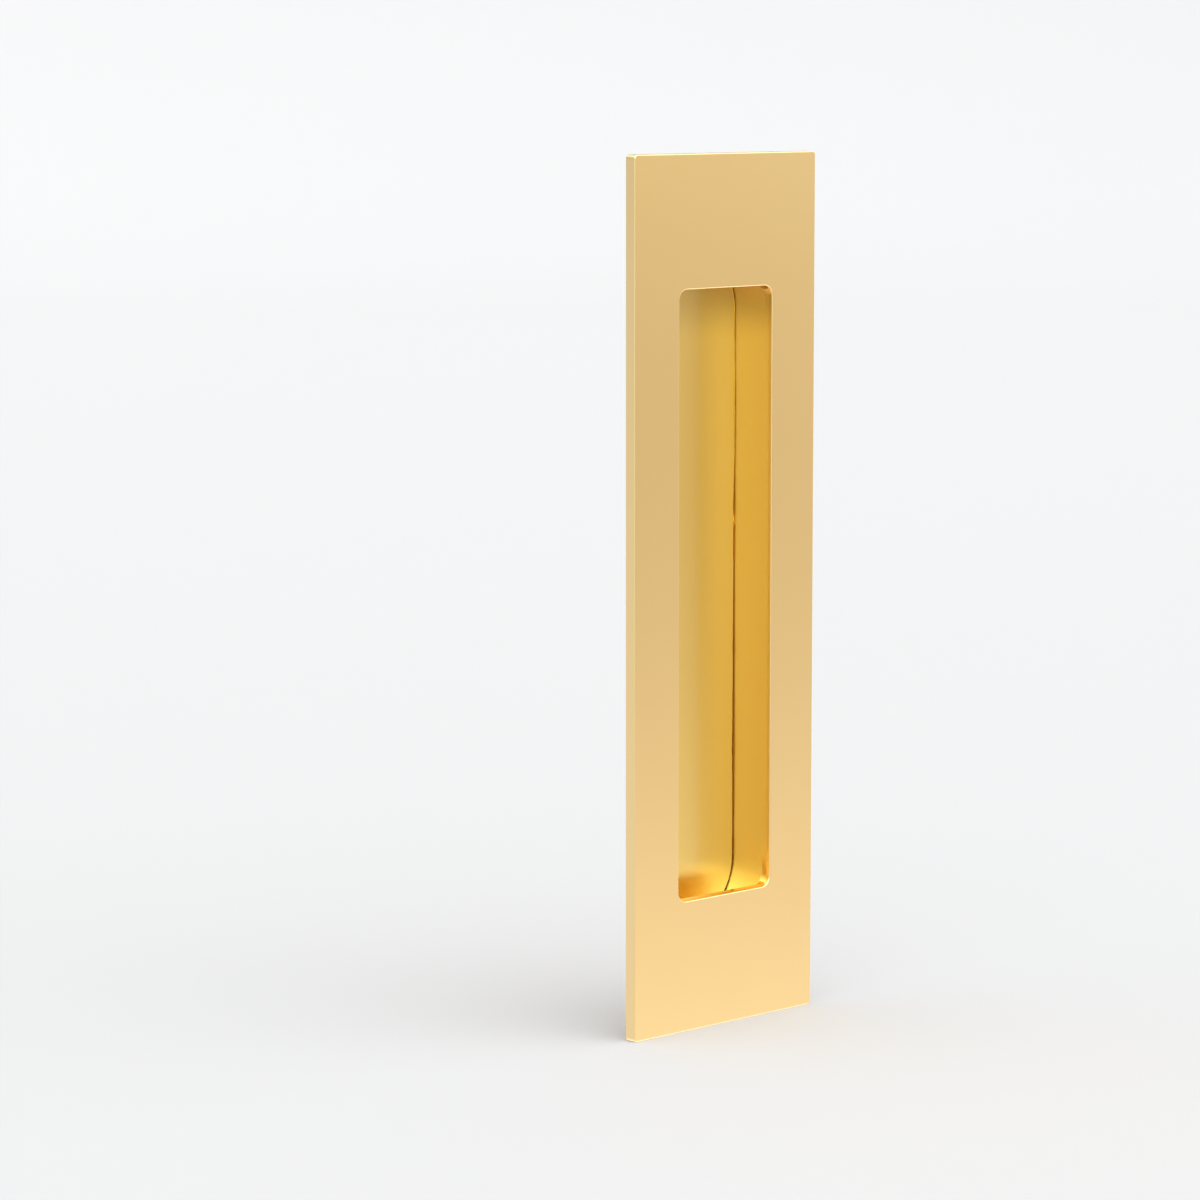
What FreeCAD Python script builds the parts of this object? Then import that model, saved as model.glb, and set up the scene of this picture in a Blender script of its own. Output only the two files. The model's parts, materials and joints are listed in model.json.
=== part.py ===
import FreeCAD, Part
import math
import os
from enum import IntEnum

import Sketcher
from FreeCAD import Placement, Rotation, Vector

# Pocket door pull: a satin brass face plate with a tall finger opening, and behind it
# a cup that sinks into the door. The cup is a slot-shaped ring closed by a stepped
# floor. It runs past both ends of the opening, and there, out of sight behind the
# plate, a screw goes through each end wall into the door.
#
# Millimetres. +X is the width, +Z is up, and +Y points into the door. The origin is
# the centre of the plate's rear face, which lies on the surface of the door.

# name, value, what it is
DRIVING_SIZES = [
    ("plate_height", 178.0, "height of the face plate"),
    ("plate_width", 51.0, "width of the face plate"),
    ("plate_thick", 2.5, "thickness of the face plate"),
    ("plate_corner", 0.8, "radius of the plate's corners seen from the front"),
    ("plate_arris", 0.4, "rounding of the plate's front edge"),
    ("opening_height", 123.8, "height of the finger opening"),
    ("opening_width", 25.9, "width of the finger opening"),
    ("opening_corner", 2.0, "radius of the opening's corners"),
    ("opening_arris", 0.5, "rounding of the opening's front edge"),
    ("recess_depth", 10.5, "from the plate's front face to the floor of the cup"),
    ("end_run", 8.0, "how far the cup's inside runs past each end of the opening"),
    ("side_wall", 1.6, "thickness of the cup's long walls"),
    ("end_wall", 5.0, "thickness of the cup's round end walls"),
    ("seat_depth", 0.4, "depth of the seat in the plate's back that locates the cup"),
    ("seat_gap", 0.1, "solder gap between the cup and the side of its seat"),
    ("step_gap", 0.35, "open joint between the floor's raised step and the cup wall"),
    ("step_height", 0.8, "height of the floor's raised step above its flange"),
    ("flange_thick", 0.8, "thickness of the floor's flange"),
    ("flange_land", 0.8, "width of the ledge in the cup that the flange rests on"),
    ("flange_gap", 0.05, "solder gap between the flange and the side of its rebate"),
    ("cup_break", 0.4, "chamfer round the cup's rear edge"),
    ("screw_length", 16.0, "length of a fixing screw, head included"),
    ("screw_shank", 2.84, "diameter of the screw's plain shank"),
    ("screw_core", 2.4, "diameter of the threaded part, half way up the thread"),
    ("screw_plain", 7.5, "from the top of the head to where the thread starts"),
    ("screw_head", 5.4, "diameter of the screw's countersunk head"),
    ("screw_rim", 0.3, "height of the straight rim of the screw's head"),
    ("screw_point", 2.6, "length of the screw's tapered point"),
    ("screw_tilt", 15.0, "lean of the screw away from the plate, in degrees"),
    ("screw_inset", 5.0, "from the plate's rear face to the middle of the screw's head"),
    ("screw_sink", 0.85, "how far the middle of the head sits below the end wall's inside"),
    ("screw_gap", 0.15, "clearance round the screw, in the hole and in the countersink"),
    ("drive_span", 2.9, "span of the cross recess in the screw's head"),
    ("drive_width", 0.75, "width of the slots of the cross recess"),
    ("drive_depth", 1.3, "depth of the cross recess"),
]

# name, formula, what it is
WORKED_OUT_SIZES = [
    ("slot_radius", "=opening_width / 2", "inside radius of the cup's round ends"),
    ("slot_half_run", "=opening_height / 2 + end_run - slot_radius", "height of their centres"),
    ("slot_end", "=slot_half_run + slot_radius", "inside end of the cup"),
    ("ring_radius", "=slot_radius + side_wall", "outside radius of the cup's round ends"),
    ("ring_half_run", "=slot_end + end_wall - ring_radius", "height of their centres"),
    ("floor_level", "=recess_depth - plate_thick", "from the plate's back to the cup's floor"),
    ("ledge_level", "=floor_level + step_height", "ledge that the floor's flange rests on"),
    ("ring_back", "=ledge_level + flange_thick", "rear of the cup"),
    ("flange_radius", "=slot_radius + flange_land", "radius of the rebate for the flange"),
    ("screw_cone", "=(screw_head - screw_shank) / 2", "height of the head's 90 degree cone"),
]

UP = Vector(0, 0, 1)
SMALLEST_CUT = 0.001
ON_PLANE = 1e-4


class Spot(IntEnum):
    """How a sketch constraint names the start, end and centre of a line or arc."""

    START = 1
    END = 2
    CENTRE = 3


class Axis(IntEnum):
    """How a sketch constraint names the sketch's own axes."""

    HORIZONTAL = -1
    VERTICAL = -2


ORIGIN = (Axis.HORIZONTAL, Spot.START)

doc = FreeCAD.newDocument("pocket_door_pull")
sheet = doc.addObject("Spreadsheet::Sheet", "sizes")


def fill_sheet():
    """Puts the driving sizes, and the sizes worked out from them, in the sheet."""
    for row, (name, value, meaning) in enumerate(DRIVING_SIZES + WORKED_OUT_SIZES, start=1):
        sheet.set("A%d" % row, name)
        sheet.set("B%d" % row, str(value))
        sheet.set("C%d" % row, meaning)
        sheet.setAlias("B%d" % row, name)
    doc.recompute()


def size(name):
    """The value of one size, used to pick edges and to start a sketch near its solution."""
    return float(sheet.get(name))


def new_body(label):
    """An empty body whose label is also the name of its file."""
    body = doc.addObject("PartDesign::Body", label)
    body.Label = label
    return body


def origin_plane(body, role):
    """One of the body's own origin planes, found by its role."""
    return next(item for item in body.Origin.OriginFeatures if item.Role == role)


def new_sketch(body, name, role, level=None):
    """A sketch on an origin plane, moved along the plane's normal by an expression."""
    sketch = body.newObject("Sketcher::SketchObject", name)
    sketch.AttachmentSupport = [(origin_plane(body, role), "")]
    sketch.MapMode = "FlatFace"
    if level:
        sketch.setExpression("AttachmentOffset.Base.z", level)
    return sketch


def hold(sketch, *constraint):
    """Adds one constraint to a sketch and gives its number."""
    return sketch.addConstraint(Sketcher.Constraint(*constraint))


def drive(sketch, name, expression, *constraint):
    """Adds a named dimension to a sketch and ties it to the sheet."""
    index = hold(sketch, *constraint)
    sketch.renameConstraint(index, name)
    sketch.setExpression("Constraints." + name, expression)


def close_tangent(sketch, outline):
    """Joins the lines and arcs of an outline end to start, each tangent to the next."""
    for this, following in zip(outline, outline[1:] + outline[:1]):
        hold(sketch, "Tangent", this, Spot.END, following, Spot.START)


def draw_obround(sketch, name, radius, half_run):
    """A slot along the sketch's vertical axis: two half circles and the lines between."""
    r, run = size("slot_radius"), size("slot_half_run")
    upper = Part.ArcOfCircle(Part.Circle(Vector(0, run, 0), UP, r), 0, math.pi)
    lower = Part.ArcOfCircle(Part.Circle(Vector(0, -run, 0), UP, r), math.pi, 2 * math.pi)
    top = sketch.addGeometry(upper)
    left = sketch.addGeometry(Part.LineSegment(Vector(-r, run, 0), Vector(-r, -run, 0)))
    low = sketch.addGeometry(lower)
    right = sketch.addGeometry(Part.LineSegment(Vector(r, -run, 0), Vector(r, run, 0)))
    close_tangent(sketch, [top, left, low, right])
    hold(sketch, "Vertical", right)
    hold(sketch, "PointOnObject", top, Spot.CENTRE, Axis.VERTICAL)
    hold(sketch, "Symmetric", top, Spot.CENTRE, low, Spot.CENTRE, *ORIGIN)
    drive(sketch, name + "_radius", radius, "Radius", top, r)
    drive(sketch, name + "_run", half_run, "DistanceY", *ORIGIN, top, Spot.CENTRE, run)


def draw_rounded_rectangle(sketch, name, width, height, corner):
    """A rectangle with round corners, centred on the sketch; takes three size names."""
    x, y, r = size(width) / 2, size(height) / 2, size(corner)
    signs = [(1, 1), (-1, 1), (-1, -1), (1, -1)]
    centres = [Vector(sx * (x - r), sy * (y - r), 0) for sx, sy in signs]
    outline = []
    for quarter, centre in enumerate(centres):
        start, end = quarter * math.pi / 2, (quarter + 1) * math.pi / 2
        outline.append(sketch.addGeometry(Part.ArcOfCircle(Part.Circle(centre, UP, r), start, end)))
        out = Vector(math.cos(end), math.sin(end), 0) * r
        following = centres[(quarter + 1) % len(centres)]
        outline.append(sketch.addGeometry(Part.LineSegment(centre + out, following + out)))
    arcs, (top, left, bottom, right) = outline[0::2], outline[1::2]
    close_tangent(sketch, outline)
    for arc in arcs[1:]:
        hold(sketch, "Equal", arcs[0], arc)
    for level, upright in ((top, left), (bottom, right)):
        hold(sketch, "Horizontal", level)
        hold(sketch, "Vertical", upright)
    hold(sketch, "Symmetric", arcs[0], Spot.CENTRE, arcs[2], Spot.CENTRE, *ORIGIN)
    across = (left, Spot.START, right, Spot.START, 2 * x)
    upwards = (bottom, Spot.START, top, Spot.START, 2 * y)
    drive(sketch, name + "_corner", "sizes." + corner, "Radius", arcs[0], r)
    drive(sketch, name + "_width", "sizes." + width, "DistanceX", *across)
    drive(sketch, name + "_height", "sizes." + height, "DistanceY", *upwards)


def draw_polygon(sketch, corners):
    """A closed outline of straight lines through corners given as (name, x, y).

    x and y are expressions for the corner's distance from the sketch's axes, with a
    minus sign in front on the negative side, or None for a corner on that axis.
    """
    points = [Vector(*[sketch.evalExpression(text) if text else 0 for text in (x, y)], 0)
              for _, x, y in corners]
    lines = [sketch.addGeometry(Part.LineSegment(start, end))
             for start, end in zip(points, points[1:] + points[:1])]
    for this, following in zip(lines, lines[1:] + lines[:1]):
        hold(sketch, "Coincident", this, Spot.END, following, Spot.START)
    for line, (name, x, y) in zip(lines, corners):
        corner = (line, Spot.START)
        for way, text, axis in (("X", x, Axis.VERTICAL), ("Y", y, Axis.HORIZONTAL)):
            if text is None:
                hold(sketch, "PointOnObject", *corner, axis)
                continue
            ends = corner + ORIGIN if text.startswith("-") else ORIGIN + corner
            length = text.lstrip("-")
            start = sketch.evalExpression(length)
            drive(sketch, name + "_along_" + way, length, "Distance" + way, *ends, start)


def pad(body, name, sketch, length, reverse=False):
    """A pad along the sketch's normal, or against it."""
    feature = body.newObject("PartDesign::Pad", name)
    feature.Profile = sketch
    feature.setExpression("Length", length)
    feature.Reversed = reverse
    doc.recompute()
    return feature


def pocket(body, name, sketch, length, reverse=False):
    """A pocket against the sketch's normal, or along it."""
    feature = body.newObject("PartDesign::Pocket", name)
    feature.Profile = sketch
    feature.setExpression("Length", length)
    feature.Reversed = reverse
    doc.recompute()
    check_cut(feature)
    return feature


def check_cut(feature):
    """Stops the build if a cut took nothing away from the solid before it."""
    if feature.BaseFeature.Shape.Volume - feature.Shape.Volume < SMALLEST_CUT:
        raise RuntimeError(feature.Name + " cuts nothing")


def edges_at_level(feature, level, chosen):
    """Names of the edges that lie flat at one depth and pass a test on their middle."""
    names = []
    for number, edge in enumerate(feature.Shape.Edges, start=1):
        box = edge.BoundBox
        if max(abs(box.YMin - level), abs(box.YMax - level)) < ON_PLANE and chosen(edge.CenterOfMass):
            names.append("Edge%d" % number)
    return names


def dress(body, kind, name, feature, edges, dimension, expression):
    """A fillet or chamfer on some edges of a feature."""
    finish = body.newObject("PartDesign::" + kind, name)
    finish.Base = (feature, edges)
    finish.setExpression(dimension, expression)
    doc.recompute()
    return finish


def in_opening(point):
    """True for an edge of the plate's finger opening, false for its outer edge."""
    across = abs(point.x) < size("opening_width") / 2 + ON_PLANE
    return across and abs(point.z) < size("opening_height") / 2 + ON_PLANE


def make_face_plate():
    """The plate: cut from flat bar, with the opening, the cup's seat and soft edges."""
    body = new_body("face_plate")
    outline = new_sketch(body, "plate_outline", "XZ_Plane")
    draw_rounded_rectangle(outline, "plate", "plate_width", "plate_height", "plate_corner")
    draw_rounded_rectangle(outline, "opening", "opening_width", "opening_height", "opening_corner")
    plate = pad(body, "plate_blank", outline, "sizes.plate_thick")

    seat_outline = new_sketch(body, "seat_outline", "XZ_Plane")
    draw_obround(seat_outline, "seat", "sizes.ring_radius + sizes.seat_gap", "sizes.ring_half_run")
    plate = pocket(body, "cup_seat", seat_outline, "sizes.seat_depth", reverse=True)

    front = -size("plate_thick")
    rim = edges_at_level(plate, front, in_opening)
    plate = dress(body, "Fillet", "opening_edge", plate, rim, "Radius", "sizes.opening_arris")
    border = edges_at_level(plate, front, lambda point: not in_opening(point))
    dress(body, "Fillet", "plate_edge", plate, border, "Radius", "sizes.plate_arris")
    return body


def make_cup_ring():
    """The wall of the cup: a slot-shaped ring with a rebate behind and two screw holes."""
    body = new_body("cup_ring")
    outline = new_sketch(body, "ring_outline", "XZ_Plane", "sizes.seat_depth")
    draw_obround(outline, "outside", "sizes.ring_radius", "sizes.ring_half_run")
    draw_obround(outline, "inside", "sizes.slot_radius", "sizes.slot_half_run")
    ring = pad(body, "ring_blank", outline, "sizes.seat_depth + sizes.ring_back", reverse=True)

    rebate_outline = new_sketch(body, "rebate_outline", "XZ_Plane", "-sizes.ledge_level")
    draw_obround(rebate_outline, "rebate", "sizes.flange_radius", "sizes.slot_half_run")
    ring = pocket(body, "floor_rebate", rebate_outline, "sizes.flange_thick")

    outside = edges_at_level(ring, size("ring_back"), beyond_rebate)
    ring = dress(body, "Chamfer", "rear_break", ring, outside, "Size", "sizes.cup_break")

    hole = new_sketch(body, "screw_hole_profile", "YZ_Plane")
    hole.setExpression("AttachmentOffset.Base.x", "sizes.screw_inset")
    hole.setExpression("AttachmentOffset.Base.y", "sizes.slot_end + sizes.screw_sink")
    hole.setExpression("AttachmentOffset.Rotation.Angle", "-sizes.screw_tilt")
    head = "sizes.screw_head / 2 + sizes.screw_gap"
    shank = "sizes.screw_shank / 2 + sizes.screw_gap"
    draw_polygon(hole, [
        ("mouth_middle", None, "-sizes.screw_head"),
        ("mouth", head, "-sizes.screw_head"),
        ("rim", head, "sizes.screw_rim"),
        ("cone", shank, "sizes.screw_rim + sizes.screw_cone"),
        ("far", shank, "2 * sizes.end_wall"),
        ("far_middle", None, "2 * sizes.end_wall"),
    ])
    groove = body.newObject("PartDesign::Groove", "upper_screw_hole")
    groove.Profile = hole
    groove.ReferenceAxis = (hole, ["V_Axis"])
    groove.Angle = 360
    doc.recompute()
    check_cut(groove)

    mirror = body.newObject("PartDesign::Mirrored", "lower_screw_hole")
    mirror.Originals = [groove]
    mirror.MirrorPlane = (origin_plane(body, "XY_Plane"), [""])
    body.Tip = mirror
    doc.recompute()
    return body


def beyond_rebate(point):
    """True for an edge of the ring's outside, false for one of the rebate behind it."""
    past_centre = max(abs(point.z) - size("slot_half_run"), 0)
    return math.hypot(point.x, past_centre) > size("flange_radius") + ON_PLANE


def make_cup_floor():
    """The floor: a raised step inside the ring and a flange soldered into its rebate."""
    body = new_body("cup_floor")
    flange_outline = new_sketch(body, "flange_outline", "XZ_Plane", "-sizes.ring_back")
    draw_obround(flange_outline, "flange", "sizes.flange_radius - sizes.flange_gap", "sizes.slot_half_run")
    pad(body, "flange", flange_outline, "sizes.flange_thick")
    step_outline = new_sketch(body, "step_outline", "XZ_Plane", "-sizes.ledge_level")
    draw_obround(step_outline, "step", "sizes.slot_radius - sizes.step_gap", "sizes.slot_half_run")
    pad(body, "step", step_outline, "sizes.step_height")
    return body


def make_screw(label, height, lean):
    """A countersunk wood screw driven through one end wall of the cup.

    height and lean are expressions: where the middle of its head is along +Z, and how
    far its length is turned about +X. The thread itself is left off.
    """
    body = new_body(label)
    profile = new_sketch(body, label + "_profile", "XZ_Plane")
    draw_polygon(profile, [
        ("top_middle", None, None),
        ("top", "sizes.screw_head / 2", None),
        ("rim", "sizes.screw_head / 2", "sizes.screw_rim"),
        ("cone", "sizes.screw_shank / 2", "sizes.screw_rim + sizes.screw_cone"),
        ("shank", "sizes.screw_shank / 2", "sizes.screw_plain"),
        ("core", "sizes.screw_core / 2", "sizes.screw_plain"),
        ("taper", "sizes.screw_core / 2", "sizes.screw_length - sizes.screw_point"),
        ("point", None, "sizes.screw_length"),
    ])
    turned = body.newObject("PartDesign::Revolution", label + "_blank")
    turned.Profile = profile
    turned.ReferenceAxis = (profile, ["V_Axis"])
    turned.Angle = 360
    doc.recompute()

    slot_outline = new_sketch(body, label + "_slot", "XY_Plane")
    far, near = "sizes.drive_span / 2", "sizes.drive_width / 2"
    draw_polygon(slot_outline, [
        ("first", far, near), ("second", "-" + far, near),
        ("third", "-" + far, "-" + near), ("fourth", far, "-" + near),
    ])
    slot = pocket(body, label + "_drive", slot_outline, "sizes.drive_depth", reverse=True)
    cross = body.newObject("PartDesign::PolarPattern", label + "_cross")
    cross.Originals = [slot]
    cross.Axis = (slot_outline, ["N_Axis"])
    cross.Angle = 90
    cross.Occurrences = 2
    body.Tip = cross

    body.Placement = Placement(Vector(), Rotation(Vector(1, 0, 0), 1))
    body.setExpression("Placement.Base.y", "sizes.screw_inset")
    body.setExpression("Placement.Base.z", height)
    body.setExpression("Placement.Rotation.Angle", lean)
    doc.recompute()
    return body


def check_and_export(bodies):
    """Stops on any failed object or bad solid, then writes one file for each piece."""
    doc.recompute()
    failed = [item.Name for item in doc.Objects if {"Invalid", "Error"} & set(item.State)]
    if failed:
        raise RuntimeError("failed objects: " + ", ".join(failed))
    for body in bodies:
        if body.Shape.isNull() or not body.Shape.isValid() or len(body.Shape.Solids) != 1:
            raise RuntimeError(body.Label + " is not one valid solid")
    os.makedirs("parts", exist_ok=True)
    for body in bodies:
        body.Shape.exportStep(os.path.join("parts", body.Label + ".step"))
        print("%-12s %9.2f cubic mm" % (body.Label, body.Shape.Volume))


fill_sheet()
head_height = "sizes.slot_end + sizes.screw_sink"
check_and_export([
    make_face_plate(),
    make_cup_ring(),
    make_cup_floor(),
    make_screw("upper_screw", head_height, "-sizes.screw_tilt"),
    make_screw("lower_screw", "-(" + head_height + ")", "sizes.screw_tilt - 180"),
])
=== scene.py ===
import json
import logging
import math
from collections.abc import Callable
from dataclasses import dataclass, field
from enum import Enum

import bmesh
import bpy
import numpy as np
from mathutils import Matrix, Vector


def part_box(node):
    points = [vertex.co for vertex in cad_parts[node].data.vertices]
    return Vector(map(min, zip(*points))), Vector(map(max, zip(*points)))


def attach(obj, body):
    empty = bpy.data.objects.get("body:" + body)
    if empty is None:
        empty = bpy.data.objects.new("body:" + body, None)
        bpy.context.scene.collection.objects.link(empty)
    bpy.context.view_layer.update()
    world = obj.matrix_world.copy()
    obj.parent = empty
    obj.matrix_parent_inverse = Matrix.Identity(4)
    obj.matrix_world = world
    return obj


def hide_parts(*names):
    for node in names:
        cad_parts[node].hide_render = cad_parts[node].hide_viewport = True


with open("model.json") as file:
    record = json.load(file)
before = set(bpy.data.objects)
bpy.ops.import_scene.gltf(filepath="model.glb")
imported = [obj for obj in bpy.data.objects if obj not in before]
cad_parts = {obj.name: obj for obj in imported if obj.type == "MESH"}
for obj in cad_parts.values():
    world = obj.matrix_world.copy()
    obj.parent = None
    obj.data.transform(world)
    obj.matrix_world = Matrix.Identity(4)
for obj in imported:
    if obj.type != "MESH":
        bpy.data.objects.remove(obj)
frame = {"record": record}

# Pocket door pull: the looks of its satin brass face plate, of the cup brazed behind it
# and of the two wood screws that hold it in the door.
#
# Sizes are in millimetres and are turned to metres where a mesh is made. The axes are
# the frame's: +X is the width, +Z is up, +Y points into the door, and the origin is the
# centre of the plate's rear face.

MM = 0.001
BODY = "root"
FULL_TURN = 2 * math.pi
QUARTER_TURN = math.pi / 2

# Points of a mesh that lie nearer than this, in metres, are one point.
WELD = 1e-7

# A noise texture mostly stays between these two.
NOISE_LOW, NOISE_HIGH = 0.25, 0.75

# How nearly a face has to look some way to be chosen, as the cosine of the angle to it.
NEARLY_BACK = 0.5
NEARLY_SIDEWAYS = 0.9
NEARLY_UP_OR_DOWN = 0.75

log = logging.getLogger("pocket_door_pull")


@dataclass(frozen=True)
class Steps:
    """How many steps an outline is drawn with.

    Attributes:
        corner: Steps round one corner, a quarter turn.
        across: Steps along a short side.
        along: Steps along a long side.
    """

    corner: int = 10
    across: int = 12
    along: int = 72


@dataclass(frozen=True)
class Outline:
    """An upright rectangle with round corners, or a slot if its corner is its half width.

    Attributes:
        half_width: Half its size along X.
        half_height: Half its size along Z.
        corner: Radius of its corners.
    """

    half_width: float
    half_height: float
    corner: float

    @classmethod
    def slot(cls, radius: float, half_height: float) -> "Outline":
        """A slot with round ends, from their radius and half of its whole height."""
        return cls(radius, half_height, radius)

    def grown(self, distance: float) -> "Outline":
        """The outline that lies a distance outside this one, or inside it if negative."""
        return Outline(self.half_width + distance, self.half_height + distance, self.corner + distance)

    def points(self, steps: Steps) -> np.ndarray:
        """Points of the outline, counted from the right-hand side upwards and round.

        A corner is centre + radius * (cos, sin) of the angle, and a side is a straight
        mix of its ends. The lower left half is the upper right half turned by a half
        turn, so it is its negative.

        Args:
            steps: How finely to draw it.

        Returns:
            An array of (x, z) rows. Its length depends on the steps alone, so that any
            two outlines can be joined point to point.
        """
        reach = self.half_height - self.corner
        inset = self.half_width - self.corner
        if inset > 0:
            quarter = np.linspace(0, QUARTER_TURN, steps.corner, endpoint=False)
            side = np.linspace(inset, -inset, steps.across, endpoint=False)
            top = np.column_stack([side, np.full_like(side, self.half_height)])
            upper = [self.arc(inset, reach, quarter), top, self.arc(-inset, reach, quarter + QUARTER_TURN)]
        else:
            turn = np.linspace(0, math.pi, 2 * steps.corner + steps.across, endpoint=False)
            upper = [self.arc(0, reach, turn)]
        down = np.linspace(reach, -reach, steps.along, endpoint=False)
        left = np.column_stack([np.full_like(down, -self.half_width), down])
        half = np.concatenate([*upper, left])
        return np.concatenate([half, -half])

    def outward(self, steps: Steps) -> np.ndarray:
        """Unit vectors that point out of the outline at its points.

        Each is the chord between the two neighbours, turned by a quarter turn.

        Args:
            steps: How finely the outline is drawn.

        Returns:
            An array of (x, z) rows.
        """
        points = self.points(steps)
        chord = np.roll(points, -1, axis=0) - np.roll(points, 1, axis=0)
        turned = np.column_stack([chord[:, 1], -chord[:, 0]])
        return turned / np.linalg.norm(turned, axis=1, keepdims=True)

    def arc(self, x: float, z: float, angles: np.ndarray) -> np.ndarray:
        """Points at some angles round a corner whose centre is at x, z."""
        return np.column_stack([x + self.corner * np.cos(angles), z + self.corner * np.sin(angles)])


def carry(rows: list[tuple[Outline, float]], steps: Steps) -> np.ndarray:
    """Carries a profile round an outline.

    Each corner of the profile is an outline of its own at its own depth, so the surface
    is position(corner, point) = (x of the point, depth of the corner, z of the point).

    Args:
        rows: The profile's corners, as outlines with their depth along Y.
        steps: How finely to draw the outlines.

    Returns:
        A grid of points, one row for each corner of the profile.
    """
    flat = np.stack([outline.points(steps) for outline, _ in rows])
    depth = np.broadcast_to(np.array([y for _, y in rows])[:, None], flat.shape[:2])
    return np.stack([flat[..., 0], depth, flat[..., 1]], axis=-1)


def grid_faces(rows: int, columns: int, wrapped: bool) -> np.ndarray:
    """Four-sided faces of a grid whose columns go round.

    Args:
        rows: Number of rows.
        columns: Number of points in a row; the last is joined to the first.
        wrapped: Whether the last row is joined to the first too.

    Returns:
        An array of four vertex numbers for each face.
    """
    row = np.arange(rows if wrapped else rows - 1)[:, None]
    column = np.arange(columns)[None, :]
    following, beside = (row + 1) % rows, (column + 1) % columns
    corners = [row * columns + column, row * columns + beside,
               following * columns + beside, following * columns + column]
    return np.stack(corners, axis=-1).reshape(-1, 4)


def make_object(name: str, grid: np.ndarray, wrapped: bool) -> bpy.types.Object:
    """Makes an object of a grid of points in millimetres.

    Points that fall together, as at a pole, are merged, and the faces are turned
    outwards.

    Args:
        name: The object's name.
        grid: Points, as rows of columns of (x, y, z).
        wrapped: Whether the last row is joined to the first.

    Returns:
        The new object, which sits at the origin with its place in its mesh.
    """
    rows, columns = grid.shape[:2]
    mesh = bpy.data.meshes.new(name)
    mesh.from_pydata(grid.reshape(-1, 3) * MM, [], grid_faces(rows, columns, wrapped))
    shape = bmesh.new()
    shape.from_mesh(mesh)
    bmesh.ops.remove_doubles(shape, verts=shape.verts, dist=WELD)
    bmesh.ops.recalc_face_normals(shape, faces=shape.faces)
    shape.to_mesh(mesh)
    shape.free()
    made = bpy.data.objects.new(name, mesh)
    bpy.context.scene.collection.objects.link(made)
    return made


def cut(target: bpy.types.Object, cutter: bpy.types.Object) -> None:
    """Takes the cutter's solid away from the target's, and then removes the cutter.

    Args:
        target: The object that is cut.
        cutter: The object that cuts it.
    """
    boolean = target.modifiers.new("cut", "BOOLEAN")
    boolean.object = cutter
    boolean.operation = "DIFFERENCE"
    boolean.solver = "EXACT"
    blank = target.data
    finished = bpy.data.meshes.new_from_object(target.evaluated_get(bpy.context.evaluated_depsgraph_get()))
    target.modifiers.clear()
    target.data = finished
    finished.name = blank.name
    bpy.data.meshes.remove(blank)
    bpy.data.meshes.remove(cutter.data)


class Edges(Enum):
    """How a piece was made: the angle, in degrees, above which an edge of it is sharp."""

    MACHINED = 30
    THREADED = 40
    MOLTEN = 50


def smooth(target: bpy.types.Object, edges: Edges) -> None:
    """Shades an object smoothly, apart from its sharp edges.

    Args:
        target: The object.
        edges: How sharp an edge has to be to stay one.
    """
    target.data.shade_smooth()
    target.data.set_sharp_from_angle(angle=math.radians(edges.value))
    weighted = target.modifiers.new("flat_faces_stay_flat", "WEIGHTED_NORMAL")
    weighted.keep_sharp = True


def extent(node: str) -> tuple[np.ndarray, np.ndarray]:
    """Lowest and highest corner of a node of the frame, in millimetres."""
    low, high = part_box(node)
    return np.array(low) / MM, np.array(high) / MM


def linear(colour: str) -> tuple[float, float, float, float]:
    """Turns an sRGB colour to linear light.

    The sRGB curve is a straight line in the darkest tones and a power of 2.4 above.

    Args:
        colour: Six hex digits, with a number sign in front.

    Returns:
        Red, green, blue and 1, as a shader takes them.
    """
    parts = [int(colour[at:at + 2], 16) / 255 for at in (1, 3, 5)]
    light = [p / 12.92 if p <= 0.04045 else ((p + 0.055) / 1.055) ** 2.4 for p in parts]
    return (*light, 1.0)


def add_node(tree: bpy.types.NodeTree, kind: str, settings: dict | None = None,
             inputs: dict | None = None) -> bpy.types.Node:
    """Adds a node to a tree, sets it and links it.

    Args:
        tree: The node tree.
        kind: The node's type.
        settings: Values of the node's own settings, by name.
        inputs: For each of its sockets, by name or number, a value or the output that
            is linked to it.

    Returns:
        The new node.
    """
    node = tree.nodes.new(kind)
    for name, value in (settings or {}).items():
        setattr(node, name, value)
    for name, value in (inputs or {}).items():
        if isinstance(value, bpy.types.NodeSocket):
            tree.links.new(value, node.inputs[name])
        else:
            node.inputs[name].default_value = value
    return node


class Grain(Enum):
    """The way the marks of the last tool or abrasive run: 1 for each axis they follow."""

    UPRIGHT = (0, 0, 1)
    EVEN = (0, 0, 0)


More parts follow.
